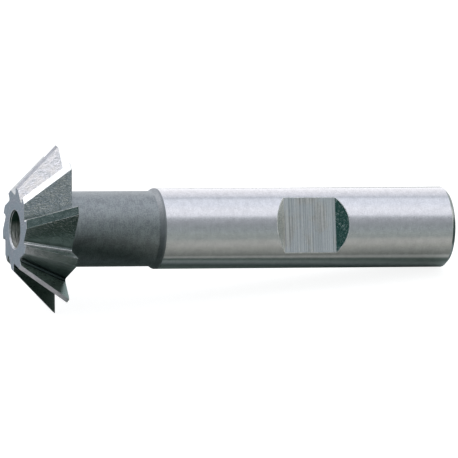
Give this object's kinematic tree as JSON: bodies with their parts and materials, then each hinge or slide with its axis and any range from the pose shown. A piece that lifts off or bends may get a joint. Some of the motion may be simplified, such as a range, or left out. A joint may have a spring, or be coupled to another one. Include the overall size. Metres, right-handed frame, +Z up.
{
  "type": "angle milling cutter",
  "caption": "Shank-type angle milling cutter: 45 degree conical head with straight teeth, dark neck, ground cylindrical shank with a driving flat.",
  "frame": {"origin": "on the surface it lies on, below the centre of its bounding box", "axes": "+X from the head to the shank end along its length as it lies, +Z up; the axis dips 5.7 degrees towards the shank end, because it lies on two teeth and the shank end"},
  "size_m": [0.0678, 0.025, 0.0238],
  "materials": {
    "high_speed_steel": "ground bright on the shank, teeth and front face; dark grey oxide on the neck"
  },
  "bodies": {
    "root": {"angle_milling_cutter": "high_speed_steel"}
  },
  "joints": []
}
